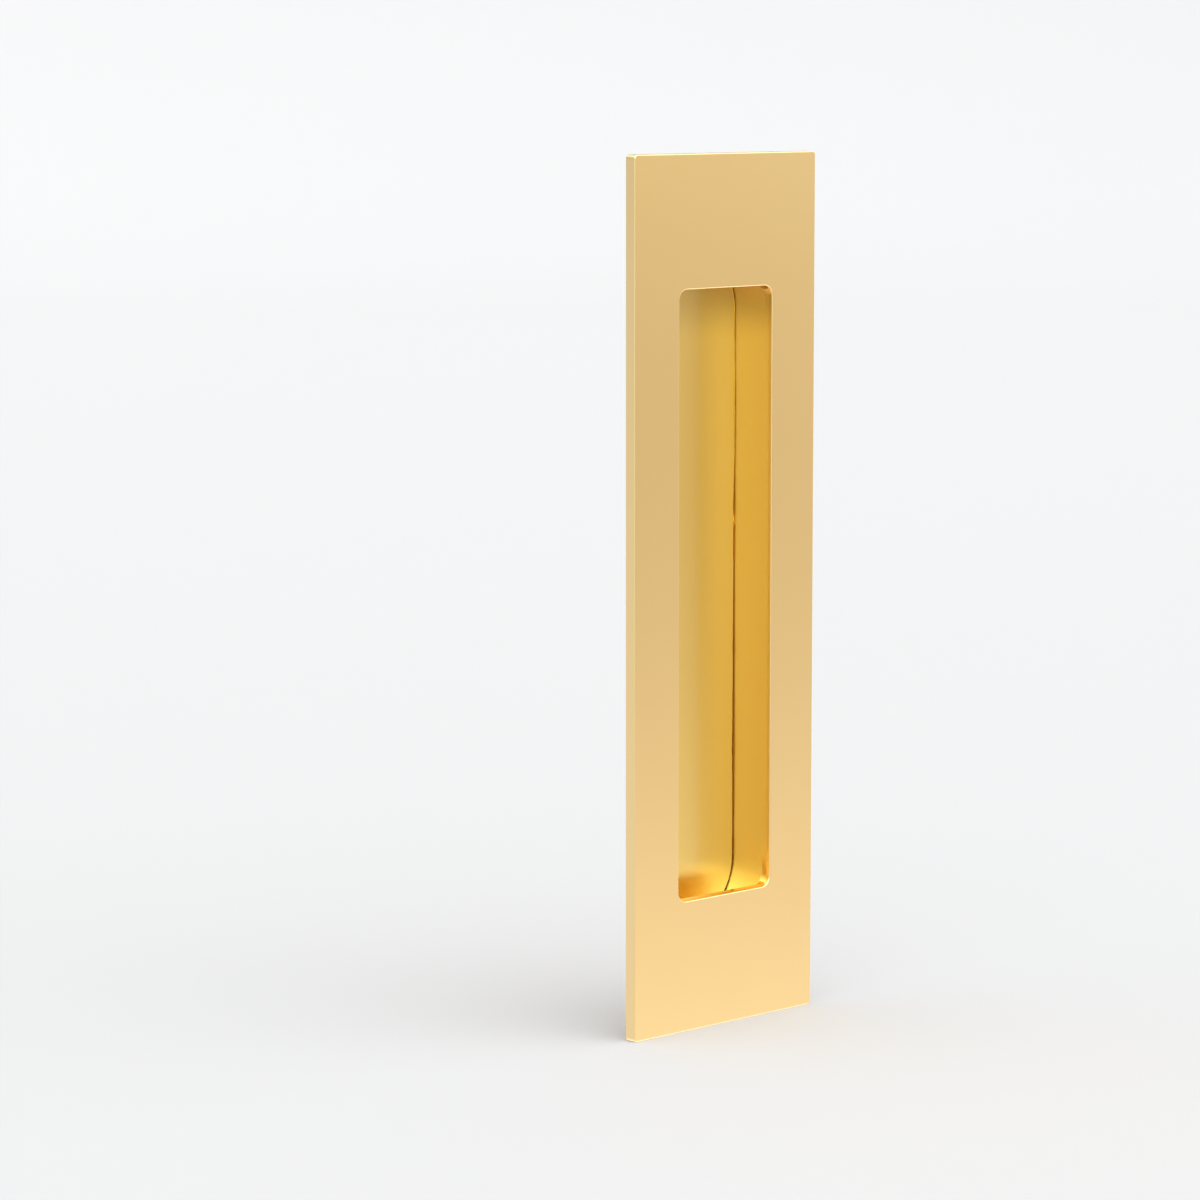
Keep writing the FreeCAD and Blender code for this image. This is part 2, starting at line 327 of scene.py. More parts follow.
@dataclass(frozen=True)
class BrassFinish:
    """Brass with one kind of worked surface.

    Attributes:
        name: Name of the material.
        colour: Colour of the clean metal, as sRGB.
        deeper: Colour that it drifts to where the lacquer lies thicker, as sRGB.
        roughness: Its mean roughness.
        drift: How far its roughness drifts to either side.
        brushed: Share by which a reflection is drawn out across the marks.
        grain: The way the marks run.
        spacing: Width of a mark, in millimetres.
        length: Length of a mark, in millimetres.
        depth: Depth of a mark, in millimetres.
        cloud: Size of the slow changes of colour and roughness, in millimetres.
        lacquer: Share of the surface under clear lacquer.
        lacquer_roughness: Roughness of that lacquer.
        painted_shade: Colour of the shade painted on its upper end, as sRGB, if it has any.
        painted_shade_from: Height along Z where that painted shade begins.
        painted_shade_to: Height where it is complete.
    """

    name: str
    colour: str
    deeper: str
    roughness: float
    drift: float
    brushed: float
    grain: Grain
    spacing: float
    length: float
    depth: float
    cloud: float = 24.0
    lacquer: float = 0.0
    lacquer_roughness: float = 0.18
    painted_shade: str = ""
    painted_shade_from: float = 50.0
    painted_shade_to: float = 61.0

    def material(self) -> bpy.types.Material:
        """Builds the material.

        The marks are a noise that is stretched along the grain, and the slow changes
        are a second noise, both on Object coordinates. The reflections are drawn out
        level, round the upright axis, since the marks run upright.

        Returns:
            The material, made once and then found by its name.
        """
        known = bpy.data.materials.get(self.name)
        if known:
            return known
        made = bpy.data.materials.new(self.name)
        made.use_nodes = True
        tree = made.node_tree
        tree.nodes.clear()
        place = add_node(tree, "ShaderNodeTexCoord").outputs["Object"]
        sizes = [self.length if along else self.spacing for along in self.grain.value]
        stretched = add_node(tree, "ShaderNodeMapping", inputs={
            "Vector": place, "Scale": [1 / (size * MM) for size in sizes]})
        marks = add_node(tree, "ShaderNodeTexNoise", inputs={
            "Vector": stretched.outputs[0], "Scale": 1.0, "Detail": 3.0, "Roughness": 0.6})
        cloud = add_node(tree, "ShaderNodeTexNoise", inputs={
            "Vector": place, "Scale": 1 / (self.cloud * MM), "Detail": 4.0, "Roughness": 0.55})
        tint = add_node(tree, "ShaderNodeMix", {"data_type": "RGBA"}, {
            "Factor": cloud.outputs[0], "A": linear(self.colour), "B": linear(self.deeper)})
        # Painted shade: the upper end is blended smoothly into a darker, browner colour, for the shade under
        # the opening's lip.
        if self.painted_shade:
            height = add_node(tree, "ShaderNodeSeparateXYZ", inputs={0: place}).outputs["Z"]
            reached = add_node(tree, "ShaderNodeMapRange", {"interpolation_type": "SMOOTHSTEP"}, {
                "Value": height, "From Min": self.painted_shade_from * MM, "From Max": self.painted_shade_to * MM})
            tint = add_node(tree, "ShaderNodeMix", {"data_type": "RGBA"}, {
                "Factor": reached.outputs[0], "A": tint.outputs["Result"], "B": linear(self.painted_shade)})
        worn = add_node(tree, "ShaderNodeMapRange", inputs={
            "Value": marks.outputs[0], "From Min": NOISE_LOW, "From Max": NOISE_HIGH,
            "To Min": self.roughness - self.drift, "To Max": self.roughness + self.drift})
        relief = add_node(tree, "ShaderNodeBump", inputs={
            "Height": marks.outputs[0], "Strength": 1.0, "Distance": self.depth * MM})
        level = add_node(tree, "ShaderNodeTangent", {"direction_type": "RADIAL", "axis": "Z"})
        surface = add_node(tree, "ShaderNodeBsdfPrincipled", inputs={
            "Base Color": tint.outputs["Result"], "Roughness": worn.outputs[0],
            "Normal": relief.outputs[0], "Metallic": 1.0,
            "Anisotropic": self.brushed, "Tangent": level.outputs[0],
            "Coat Weight": self.lacquer, "Coat Roughness": self.lacquer_roughness})
        add_node(tree, "ShaderNodeOutputMaterial", inputs={"Surface": surface.outputs[0]})
        return made


# Satin brass bar under clear lacquer. Fine abrasive drawn up and down the plate blurs
# every reflection sideways into a soft glow, and the lacquer lifts the palest part of it.
# Its marks are about 0.05 mm apart, too fine to show, and are drawn five times coarser.
PLATE_SATIN = BrassFinish(
    "satin_brass_lacquered_plate", "#F5D498", "#F3D091", roughness=0.30, drift=0.015, brushed=0.85,
    grain=Grain.UPRIGHT, spacing=0.25, length=9.0, depth=0.0001, lacquer=1.0)

# The same brass inside the cup, where it darkened a little before it was lacquered, with
# its marks drawn coarser in the same way. Its top end is painted darker and browner: painted
# shade, for the shade that the lip of the opening casts into the cup.
CUP_SATIN = BrassFinish(
    "satin_brass_lacquered_cup", "#F5D47F", "#F3D279", roughness=0.30, drift=0.015, brushed=0.85,
    grain=Grain.UPRIGHT, spacing=0.25, length=6.0, depth=0.00008, lacquer=1.0, painted_shade="#D9B86A")

# The short ends of the opening, which the abrasive could not follow: left as the end mill
# cut them, smoother than the sides that were dressed with the cup. Their deeper colour is
# painted shade, for the shade that lies on the lip's short inner faces.
OPENING_ENDS_MILLED_AND_SHADED = BrassFinish(
    "milled_brass_opening_ends_with_painted_shade", "#CE9E44", "#C6963C", roughness=0.16, drift=0.02, brushed=0.0,
    grain=Grain.UPRIGHT, spacing=0.25, length=1.2, depth=0.00005)

# Brazing brass, the hard solder that ran into the joints and was left as it froze: deeper
# and yellower than the bar, with a fine wrinkled skin that dulls it.
BRAZED = BrassFinish(
    "brazing_brass_as_frozen", "#E0B03C", "#D09C30", roughness=0.36, drift=0.08, brushed=0.0,
    grain=Grain.EVEN, spacing=0.3, length=0.3, depth=0.001)

# Brass left as it was milled, on the faces that lie against the door: upright cutter
# marks 0.4 mm apart, bright on their crests and dull in between.
MILLED = BrassFinish(
    "milled_brass_back", "#E2C078", "#D2AC62", roughness=0.36, drift=0.07, brushed=0.5,
    grain=Grain.UPRIGHT, spacing=0.4, length=14.0, depth=0.004)

# Brass wire turned and thread-rolled on an automatic lathe: bright, unlacquered and a
# little uneven, so that its highlights break up along the thread.
TURNED = BrassFinish(
    "turned_brass_screw", "#E6C47A", "#D8B166", roughness=0.25, drift=0.05, brushed=0.0,
    grain=Grain.EVEN, spacing=0.3, length=0.3, depth=0.0006)


def finish_piece(piece: bpy.types.Object, nodes: list[str],
                 finishes: list[BrassFinish]) -> None:
    """Dresses a piece, puts it on the body and lets it stand for its nodes.

    Args:
        piece: The piece.
        nodes: The frame's nodes that it stands for, if any.
        finishes: Its finishes, in the order of its material numbers.
    """
    piece.data.materials.clear()
    for finish in finishes:
        piece.data.materials.append(finish.material())
    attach(piece, BODY)
    if nodes:
        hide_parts(*nodes)
    log.info("%s: %d faces for %s", piece.name, len(piece.data.polygons), ", ".join(nodes) or "no node")


def choose_faces(piece: bpy.types.Object,
                 *choices: Callable[[np.ndarray, np.ndarray], np.ndarray]) -> None:
    """Gives some of a dressed piece's faces its second material, others its third and so on.

    Args:
        piece: The piece.
        choices: For each of those materials, what tells its faces from rows of the
            faces' centres in millimetres and rows of their normals.
    """
    faces = piece.data.polygons
    centres = np.empty(len(faces) * 3, np.float32)
    normals = np.empty(len(faces) * 3, np.float32)
    faces.foreach_get("center", centres)
    faces.foreach_get("normal", normals)
    masks = [chosen(centres.reshape(-1, 3) / MM, normals.reshape(-1, 3)) for chosen in choices]
    numbers = np.select(masks, range(1, len(masks) + 1), 0)
    faces.foreach_set("material_index", numbers.astype(np.int32))


def looks_back(centres: np.ndarray, normals: np.ndarray) -> np.ndarray:
    """Tells the faces that look into the door."""
    return normals[:, 1] > NEARLY_BACK


def looks_sideways_in(centres: np.ndarray, normals: np.ndarray) -> np.ndarray:
    """Tells the faces that look level towards the upright plane in the middle."""
    return -np.sign(centres[:, 0]) * normals[:, 0] > NEARLY_SIDEWAYS


def looks_up_or_down_in(centres: np.ndarray, normals: np.ndarray) -> np.ndarray:
    """Tells the faces that look up or down towards the level plane in the middle."""
    return -np.sign(centres[:, 2]) * normals[:, 2] > NEARLY_UP_OR_DOWN


def looks_back_or_out(centres: np.ndarray, normals: np.ndarray) -> np.ndarray:
    """Tells the faces that look into the door or away from the cup's middle."""
    away = centres[:, 0] * normals[:, 0] + centres[:, 2] * normals[:, 2]
    return looks_back(centres, normals) | (away > 0)


@dataclass(frozen=True)
class Slot:
    """Sizes that the cup's ring shares with its floor and with its seat in the plate.

    Attributes:
        radius: Inside radius of the cup's round ends.
        end: Half of the cup's whole inside height.
        side_wall: Thickness of its long walls.
        end_wall: Thickness of its end walls.
        land: Width of the ledge behind those walls, which the floor's flange rests on.
        seat_depth: How deep the cup sits in the plate's back.
        seat_gap: Gap round it there, which the brazing fills.
    """

    radius: float = 12.95
    end: float = 69.9
    side_wall: float = 1.6
    end_wall: float = 5.0
    land: float = 0.8
    seat_depth: float = 0.4
    seat_gap: float = 0.1

    @property
    def inside(self) -> Outline:
        """Outline of the cup's inside."""
        return Outline.slot(self.radius, self.end)

    @property
    def outside(self) -> Outline:
        """Outline of the cup's outside."""
        return Outline.slot(self.radius + self.side_wall, self.end + self.end_wall)

    @property
    def seat(self) -> Outline:
        """Outline of the seat in the plate's back."""
        return self.outside.grown(self.seat_gap)


@dataclass
class FacePlate:
    """The plate with its finger opening, softly rounded in front and seated behind.

    Attributes:
        slot: Sizes shared with the cup.
        corner: Radius of the plate's corners, seen from the front.
        arris: Rounding of its front edge.
        opening_width: Width of the finger opening.
        opening_height: Height of the finger opening.
        opening_corner: Radius of the opening's corners.
        opening_arris: Rounding of the opening's front edge.
        ease: How far polishing drew the opening's wall outwards behind that rounding.
        ease_depth: How far that reaches into the opening.
        eased_rows: Rows drawn over that depth.
        opening_rows: Rows drawn round the opening's arris.
        arris_rows: Rows drawn round the plate's arris.
        steps: How finely the outlines are drawn.
    """

    slot: Slot
    corner: float = 0.8
    arris: float = 0.22
    opening_width: float = 25.9
    opening_height: float = 123.8
    opening_corner: float = 2.0
    opening_arris: float = 0.25
    ease: float = 0.14
    ease_depth: float = 0.9
    eased_rows: int = 7
    opening_rows: int = 10
    arris_rows: int = 13
    steps: Steps = field(default_factory=Steps)

    def profile(self) -> list[tuple[Outline, float]]:
        """The plate's section, from the back of the opening round to the seat.

        The outer arris is a quarter circle: the outline moves by radius * (1 - sin)
        while the depth moves by radius * (1 - cos). The opening's wall leans outwards
        by the square of the share of its eased depth, and its arris takes over from
        there, at the angle whose tangent is twice the ease over that depth.

        Returns:
            Outlines with their depth along Y.
        """
        low, high = extent("face_plate")
        thickness = high[1] - low[1]
        edge = Outline(high[0], high[2], self.corner)
        mouth = Outline(self.opening_width / 2, self.opening_height / 2, self.opening_corner)
        lean = math.atan(2 * self.ease / self.ease_depth)
        brink = -thickness + self.opening_arris * (1 - math.sin(lean))
        eased = [(mouth.grown(self.ease * s ** 2), brink + self.ease_depth * (1 - s))
                 for s in np.linspace(0, 1, self.eased_rows)]
        inner = [(mouth.grown(self.ease + self.opening_arris * (math.cos(lean) - math.cos(a))),
                  -thickness + self.opening_arris * (1 - math.sin(a)))
                 for a in np.linspace(lean, QUARTER_TURN, self.opening_rows)[1:]]
        outer = [(edge.grown(-self.arris * (1 - math.sin(a))),
                  -thickness + self.arris * (1 - math.cos(a)))
                 for a in np.linspace(0, QUARTER_TURN, self.arris_rows)]
        behind = [(edge, 0.0), (self.slot.seat, 0.0),
                  (self.slot.seat, -self.slot.seat_depth), (mouth, -self.slot.seat_depth)]
        return [*eased, *inner, *outer, *behind]

    def build(self) -> bpy.types.Object:
        """Builds and dresses the plate.

        The opening's long sides were dressed with the cup, and its ends weren't; the ends' deeper colour is
        painted shade.

        Returns:
            The piece.
        """
        plate = make_object("satin_face_plate", carry(self.profile(), self.steps), wrapped=True)
        smooth(plate, Edges.MACHINED)
        finish_piece(plate, ["face_plate"], [PLATE_SATIN, MILLED, CUP_SATIN, OPENING_ENDS_MILLED_AND_SHADED])
        choose_faces(plate, looks_back, looks_sideways_in, looks_up_or_down_in)
        return plate


@dataclass
class Screw:
    """A countersunk cross-recess wood screw with its rolled thread.

    Attributes:
        name: Name of the piece.
        node: Node of the frame that it stands for.
        head: Diameter of the head.
        rim: Height of the head's straight rim.
        shank: Diameter of the plain shank and of the thread's crest.
        root: Diameter at the bottom of the thread.
        plain: From the top of the head to where the thread starts.
        length: Whole length.
        point: Length of the tapered point.
        pitch: From one turn of the thread to the next.
        drive_span: Span of the cross recess.
        drive_width: Width of its slots at the top.
        drive_depth: Its depth.
        head_break: Rounding of the head's edge.
        run_out: Length over which the plain shank ends.
        ridge: Width of the thread's foot, as a share of the pitch.
        fade: Share of the thread's height that is left where the point starts.
        bluntness: Power by which the point's radius falls; a cone's is 1.
        punch_start: How far in front of the head the recess's punch starts.
        punch_taper: Width of that punch at the recess's depth, as a share of its own.
        punch_tip: Length of its tip past that depth.
        rows: Rows drawn in one pitch.
        sides: Points drawn round the screw.
    """

    name: str
    node: str
    head: float = 5.4
    rim: float = 0.3
    shank: float = 2.84
    root: float = 2.0
    plain: float = 7.5
    length: float = 16.0
    point: float = 3.2
    pitch: float = 1.15
    drive_span: float = 2.9
    drive_width: float = 0.75
    drive_depth: float = 1.3
    head_break: float = 0.05
    run_out: float = 0.3
    ridge: float = 0.6
    fade: float = 0.8
    bluntness: float = 0.8
    punch_start: float = 1.0
    punch_taper: float = 0.5
    punch_tip: float = 0.25
    rows: int = 26
    sides: int = 48

    @property
    def cone_end(self) -> float:
        """From the top of the head to where its cone meets the shank."""
        return self.rim + (self.head - self.shank) / 2

    def axis(self) -> tuple[np.ndarray, np.ndarray]:
        """Where the screw sits, from the frame's mount for its thread.

        Returns:
            The middle of the head's top in millimetres, and the way its point faces.
        """
        mount = next(m for m in frame["record"]["mounts"] if m["name"] == self.node + "_thread")
        way = np.array(mount["axis"], float)
        threaded = mount["dims"]["length_mm"]
        return np.array(mount["pos_m"], float) / MM - way * (self.plain + threaded / 2), way

    def crosswise(self) -> tuple[np.ndarray, np.ndarray]:
        """Two directions square to the screw's axis and to each other, the first level."""
        across = np.array([1.0, 0.0, 0.0])
        return across, np.cross(self.axis()[1], across)

    def around(self, along: np.ndarray, radius: np.ndarray) -> np.ndarray:
        """Turns a profile round the screw's axis.

        position = start + way * along + radius * (cos, sin) of the angle on the two
        directions square to the axis.

        Args:
            along: Distance of each row from the top of the head.
            radius: Radius of each row, or of each row at each angle.

        Returns:
            A grid of points.
        """
        start, way = self.axis()
        across, upward = self.crosswise()
        angle = np.linspace(0, FULL_TURN, self.sides, endpoint=False)
        radial = np.cos(angle)[:, None] * across + np.sin(angle)[:, None] * upward
        radius = radius if radius.ndim == 2 else radius[:, None]
        radius = np.broadcast_to(radius, (len(along), self.sides))
        return start + along[:, None, None] * way + radius[..., None] * radial

    def thread(self) -> tuple[np.ndarray, np.ndarray]:
        """The threaded length: a ridge that climbs by one pitch in each turn.

        The ridge's height is 1 - |phase| / half its width, where the phase is the
        distance from the helix in turns, times an envelope that fades in over the first
        turn and out over the point. The point's radius falls as a power of the way left.

        Returns:
            Distances along the axis, and radii for each of them at each angle.
        """
        rows = int((self.length - self.plain) / self.pitch * self.rows)
        along = np.linspace(self.plain, self.length, rows)
        angle = np.linspace(0, 1, self.sides, endpoint=False)
        phase = (along[:, None] / self.pitch - angle) % 1.0
        ridge = np.clip(1 - np.abs(phase - 0.5) / (self.ridge / 2), 0, 1)
        left = (self.length - along) / self.point
        body = self.root / 2 * np.clip(left, 0, 1) ** self.bluntness
        rise = np.clip((along - self.plain) / self.pitch, 0, 1)
        height = (self.shank - self.root) / 2 * rise * np.clip(left * self.fade, 0, 1)
        return along, body[:, None] + height[:, None] * ridge

    def build(self) -> bpy.types.Object:
        """Builds and dresses the screw.

        Returns:
            The piece.
        """
        wide, narrow, soft = self.head / 2, self.shank / 2, self.head_break
        blank = np.array([[0, 0], [0, wide - soft], [soft, wide], [self.rim, wide],
                          [self.cone_end, narrow], [self.plain - self.run_out, narrow]])
        along, radius = self.thread()
        upper = self.around(blank[:, 0], blank[:, 1])
        grid = np.concatenate([upper, self.around(along, radius)])
        screw = make_object(self.name, grid, wrapped=False)
        cut(screw, self.drive_cutter())
        smooth(screw, Edges.THREADED)
        finish_piece(screw, [self.node], [TURNED])
        return screw

    def drive_cutter(self) -> bpy.types.Object:
        """The cross-shaped punch that leaves the recess, narrowing as it goes in.

        One arm's three corners are turned by each quarter turn in its turn, and the
        cross is shrunk to its share of the width at each level.

        Returns:
            The cutter.
        """
        far, near = self.drive_span / 2, self.drive_width / 2
        arm = np.array([[far, -near], [far, near], [near, near]])
        turns = [quarter * QUARTER_TURN for quarter in range(4)]
        parts = [(math.cos(turn), math.sin(turn)) for turn in turns]
        cross = np.concatenate([arm @ np.array([[c, -s], [s, c]]).T for c, s in parts])
        start, way = self.axis()
        across, upward = self.crosswise()
        flat = cross[:, :1] * across + cross[:, 1:] * upward
        levels = [(-self.punch_start, 0.0), (-self.punch_start, 1.0), (0.0, 1.0),
                  (self.drive_depth, self.punch_taper), (self.drive_depth + self.punch_tip, 0.0)]
        grid = np.stack([start + way * depth + flat * share for depth, share in levels])
        return make_object(self.name + "_punch", grid, wrapped=False)

    def hole_cutter(self, gap: float, reach: float) -> bpy.types.Object:
        """The countersunk drill for this screw's hole.

        Args:
            gap: Clearance all round the screw.
            reach: How far in front of the head the drill starts. It ends twice as far
                behind the top of the head.

        Returns:
            The cutter.
        """
        wide, narrow = self.head / 2 + gap, self.shank / 2 + gap
        along = np.array([-reach, -reach, self.rim, self.cone_end, reach * 2, reach * 2])
        radius = np.array([0, wide, wide, narrow, narrow, 0])
        return make_object(self.name + "_drill", self.around(along, radius), wrapped=False)


@dataclass(frozen=True)
class HandWork:
    """How far a hand-filed edge wanders as it goes round the slot.

    Attributes:
        reach: How far it wanders to either side, at most, in millimetres.
        waves: Whole numbers of waves round the slot.
        phase: Where the first of them starts, in turns.
    """

    reach: float
    waves: tuple[int, ...] = (5, 13, 29, 61, 97)
    phase: float = 0.0

    def along(self, outline: Outline, steps: Steps) -> np.ndarray:
        """The distance at each point of an outline.

        It is a sum of sines of the length run so far, each weaker than the one before
        by the square root of its number of waves.

        Args:
            outline: The outline that the edge follows.
            steps: How finely it is drawn.

        Returns:
            One distance for each point.
        """
        points = outline.points(steps)
        lengths = np.linalg.norm(np.roll(points, -1, axis=0) - points, axis=1)
        run = (np.cumsum(lengths) - lengths) / lengths.sum()
        waves = np.array(self.waves, float)[:, None]
        weight = 1 / np.sqrt(waves)
        turns = waves * run + self.phase + np.sqrt(waves)
        return self.reach * (weight * np.sin(FULL_TURN * turns)).sum(axis=0) / weight.sum()


@dataclass
class CupRing:
    """The wall of the cup: a slot-shaped ring with a rebate behind.

    Attributes:
        slot: Sizes shared with the plate.
        screws: The screws that go through its end walls.
        flange: Thickness of the floor's flange, which lies in its rebate.
        rear_break: Chamfer round the rear edge.
        screw_gap: Clearance round a screw in its hole.
        fillet: Leg of the brazed fillet round the cup.
        fillet_drift: How that leg wanders, as a share of it.
        wall_rows: Rows drawn over the depth of the inside.
        fillet_rows: Rows drawn over the fillet.
        steps: How finely the outlines are drawn.
    """

    slot: Slot
    screws: list[Screw]
    flange: float = 0.8
    rear_break: float = 0.4
    screw_gap: float = 0.15
    fillet: float = 0.5
    fillet_drift: HandWork = HandWork(0.25, phase=0.15)
    wall_rows: int = 9
    fillet_rows: int = 6
    steps: Steps = field(default_factory=Steps)

    def profile(self) -> list[tuple[Outline, float]]:
        """The wall's section, from the inside round by the back.

        Returns:
            Outlines with their depth along Y.
        """
        low, high = extent("cup_ring")
        front, back = low[1], high[1]
        inside, outside = self.slot.inside, self.slot.outside
        rebate = inside.grown(self.slot.land)
        wall = [(inside, y) for y in np.linspace(front, back - self.flange, self.wall_rows)]
        return [*wall, (rebate, back - self.flange), (rebate, back),
                (outside.grown(-self.rear_break), back), (outside, back - self.rear_break), (outside, front)]

    def build(self) -> bpy.types.Object:
        """Builds, drills and dresses the ring, and then the brazing round it.

        Returns:
            The ring.
        """
        ring = make_object("cup_wall_ring", carry(self.profile(), self.steps), wrapped=True)
        for screw in self.screws:
            cut(ring, screw.hole_cutter(self.screw_gap, self.slot.end_wall))
        smooth(ring, Edges.MACHINED)
        finish_piece(ring, ["cup_ring"], [CUP_SATIN, MILLED])
        choose_faces(ring, looks_back_or_out)
        self.build_fillet()
        return ring

    def build_fillet(self) -> bpy.types.Object:
        """Builds the brazing that fills the seat and stands in a hollow fillet round the cup.

        Its surface is a quarter of a circle, hollow towards the door: the outline moves
        out by leg * (1 - cos) while the depth moves by leg * (1 - sin).

        Returns:
            The piece.
        """
        outside, seat, bottom = self.slot.outside, self.slot.seat, -self.slot.seat_depth
        leg = self.fillet
        curve = [(outside.grown(leg * (1 - math.cos(a))), leg * (1 - math.sin(a)))
                 for a in np.linspace(0, QUARTER_TURN, self.fillet_rows)]
        grid = carry([*curve, (seat, 0.0), (seat, bottom), (outside, bottom)], self.steps)
        swell = 1 + self.fillet_drift.along(outside, self.steps)
        middle = carry([(outside, 0.0)] * len(curve), self.steps)
        grid[:len(curve)] = middle + (grid[:len(curve)] - middle) * swell[:, None]
        fillet = make_object("cup_seat_brazing", grid, wrapped=True)
        smooth(fillet, Edges.MOLTEN)
        finish_piece(fillet, [], [BRAZED])
        return fillet


@dataclass(frozen=True)
class JointFill:
    """How far the brazing stands back in the joint between the cup's floor and its wall.

    The cup stood on its lower end while the brazing ran. All heights but the bead's are
    shares of half the cup's height, from its middle upwards.

    Attributes:
        depth: How far it stands back from the floor's face at mid height.
        climb: How much less that is at the upper end, and more at the lower end.
        fuller: How much less it is again where the joint is fullest.
        fullest: Height of that place.
        fullness: How far up and down that reaches.
        ripple: How it wanders.
        hollow: How much further back it stands at the floor than at the wall.
        bead_height: Height along Z of the one bead that it left, on the right-hand side.
        bead_length: Half of that bead's length.
        rows: Rows drawn across it.
    """

    depth: float = 0.45
    climb: float = 0.36
    fuller: float = 0.3
    fullest: float = 0.45
    fullness: float = 0.2
    ripple: HandWork = HandWork(0.12, (7, 19, 43, 71), 0.3)
    hollow: float = 0.18
    bead_height: float = 12.7
    bead_length: float = 0.8
    rows: int = 7


@dataclass
class CupFloor:
    """The floor of the cup: a raised step inside the ring and a flange behind it.

    Attributes:
        slot: Sizes shared with the plate.
        step_gap: Open joint between the step and the wall.
        step_height: Height of the step above the flange.
        flange_gap: Gap round the flange, which the brazing fills.
        edge_break: Rounding that filing left on the step's edge.
        filing: How far the filed edge wanders.
        fill: How the brazing lies in the joint.
        face_rings: Where the rings of the floor's face lie, as shares of the way from
            the wall to the middle.
        rear_rings: Where the rings of its back lie.
        steps: How finely the outlines are drawn.
    """

    slot: Slot
    step_gap: float = 0.32
    step_height: float = 0.8
    flange_gap: float = 0.05
    edge_break: float = 0.06
    filing: HandWork = HandWork(0.16)
    fill: JointFill = JointFill()
    face_rings: tuple[float, ...] = (1.0, 0.8, 0.6, 0.4, 0.2, 0.08)
    rear_rings: tuple[float, ...] = (0.1, 0.4, 0.7, 1.0)
    steps: Steps = field(default_factory=lambda: Steps(along=240))

    def build(self) -> bpy.types.Object:
        """Builds and dresses the floor, and then the brazing in its joint.

        Returns:
            The floor.
        """
        low, high = extent("cup_floor")
        front, back = low[1], high[1]
        inside = self.slot.inside
        step = inside.grown(-self.step_gap)
        flange = inside.grown(self.slot.land - self.flange_gap)
        ledge = front + self.step_height
        spine = -self.slot.radius
        face = [(inside.grown(spine * share), front) for share in self.face_rings]
        edge = [(step.grown(-self.edge_break), front), (step, front + self.edge_break), (step, ledge)]
        rear = [(inside.grown(spine * share), back) for share in self.rear_rings]
        grid = carry([*face, *edge, (flange, ledge), (flange, back), *rear], self.steps)
        shift = step.outward(self.steps) * self.filing.along(step, self.steps)[:, None]
        grid[len(face):len(face) + len(edge), :, 0::2] += shift
        piece = make_object("cup_floor_lid", grid, wrapped=False)
        smooth(piece, Edges.MACHINED)
        finish_piece(piece, ["cup_floor"], [CUP_SATIN, MILLED])
        choose_faces(piece, looks_back)
        self.build_joint(front, ledge)
        return piece

    def build_joint(self, front: float, ledge: float) -> bpy.types.Object:
        """Builds the brazing that was drawn into the joint between the floor and the wall.

        Across the joint its surface is a hollow that climbs the wall: its depth is a
        mix of the depth at the step and the depth at the wall, by the square of the
        share of the way across. The depth at the wall is a straight line over the
        height, less a bell curve where the joint is fullest, and 0 at the bead.

        Args:
            front: Depth of the floor's face along Y.
            ledge: Depth of the bottom of the joint.

        Returns:
            The piece.
        """
        wall, fill = self.slot.inside, self.fill
        share = np.linspace(0, 1, fill.rows)
        across = [(wall.grown(-self.step_gap * (1 - s)), front) for s in share]
        grid = carry([*across, (wall, ledge), (wall.grown(-self.step_gap), ledge)], self.steps)
        height = np.clip(grid[0, :, 2] / self.slot.end, -1, 1)
        ripple = fill.ripple.along(wall, self.steps)
        bead = np.exp(-((grid[0, :, 2] - fill.bead_height) / fill.bead_length) ** 2) * (grid[0, :, 0] > 0)
        fuller = fill.fuller * np.exp(-((height - fill.fullest) / fill.fullness) ** 2)
        at_wall = fill.depth - fill.climb * height - fuller + ripple
        at_wall = np.clip(at_wall, 0, self.step_height) * (1 - bead)
        at_step = np.minimum(at_wall + fill.hollow * (1 - bead), self.step_height)
        mix = (share ** 2)[:, None]
        grid[:len(share), :, 1] = front + at_step * (1 - mix) + at_wall * mix
        piece = make_object("cup_joint_solder", grid, wrapped=True)
        smooth(piece, Edges.MOLTEN)
        finish_piece(piece, [], [BRAZED])
        return piece


@dataclass(frozen=True)
class Lobe:
    """A soft light from one side, as wide as a softbox or a wall of card.

    Attributes:
        azimuth: Where it stands, in degrees: 0 in front of the plate, positive to its right.
        elevation: How high it stands, in degrees.
        spread: Angle from its middle to where it ends, in degrees.
        strength: Light that it adds in its middle; below nought it takes light away.
        colour: Colour of that light, as sRGB.
    """

    azimuth: float
    elevation: float
    spread: float
    strength: float
    colour: str = "#FFFFFF"

    def axis(self) -> Vector:
        """The way from the plate to the light."""
        a, e = math.radians(self.azimuth), math.radians(self.elevation)
        return Vector((math.sin(a) * math.cos(e), -math.cos(a) * math.cos(e), math.sin(e)))


